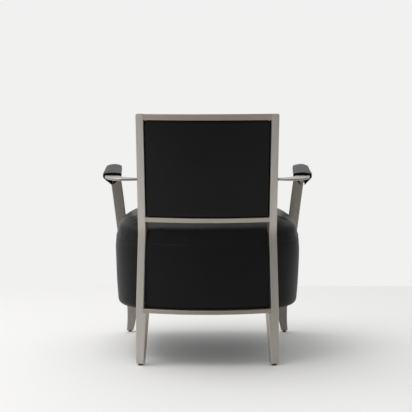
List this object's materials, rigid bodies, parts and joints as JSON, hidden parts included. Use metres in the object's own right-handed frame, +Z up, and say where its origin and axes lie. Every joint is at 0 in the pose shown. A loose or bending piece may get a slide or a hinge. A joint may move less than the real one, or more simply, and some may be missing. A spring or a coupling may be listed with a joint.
{
  "type": "armchair",
  "caption": "Low armchair: drum-shaped leather seat and framed leather back panel on a bowed metal frame, with flat metal arms in leather sleeves.",
  "frame": {"origin": "on the floor, at the middle of the chair's bounding box", "axes": "+Z up; the chair's front faces -Y; +X is the sitter's left"},
  "size_m": [0.698, 0.6424, 0.8],
  "materials": {
    "frame_metal": "satin",
    "arm_metal": "satin",
    "black_leather": "satin",
    "foam": "matte",
    "board": "matte",
    "webbing": "matte",
    "cover_cloth": "matte",
    "glide_plastic": "matte",
    "fixings": "satin"
  },
  "bodies": {
    "root": {"arm_bar_left": "arm_metal", "arm_bar_right": "arm_metal", "arm_pad_left": "foam", "arm_pad_right": "foam", "arm_sleeve_left": "black_leather", "arm_sleeve_right": "black_leather", "back_board": "board", "back_front_foam": "foam", "back_front_leather": "black_leather", "back_pins": "fixings", "back_rear_foam": "foam", "back_rear_leather": "black_leather", "front_glide_left": "glide_plastic", "front_glide_right": "glide_plastic", "front_upright_left": "frame_metal", "front_upright_right": "frame_metal", "glide_nails": "fixings", "low_rail": "frame_metal", "middle_rail": "frame_metal", "rear_glide_left": "glide_plastic", "rear_glide_right": "glide_plastic", "rear_upright_left": "frame_metal", "rear_upright_right": "frame_metal", "seat_band_foam": "foam", "seat_base_ring": "board", "seat_bolts": "fixings", "seat_cushion": "foam", "seat_dust_cover": "cover_cloth", "seat_leather_band": "black_leather", "seat_leather_rear": "black_leather", "seat_leather_top": "black_leather", "seat_posts": "board", "seat_rear_foam": "foam", "seat_skin_board": "board", "seat_top_ring": "board", "seat_washers": "fixings", "seat_webbing_across": "webbing", "seat_webbing_along": "webbing", "top_rail": "frame_metal"}
  },
  "joints": []
}
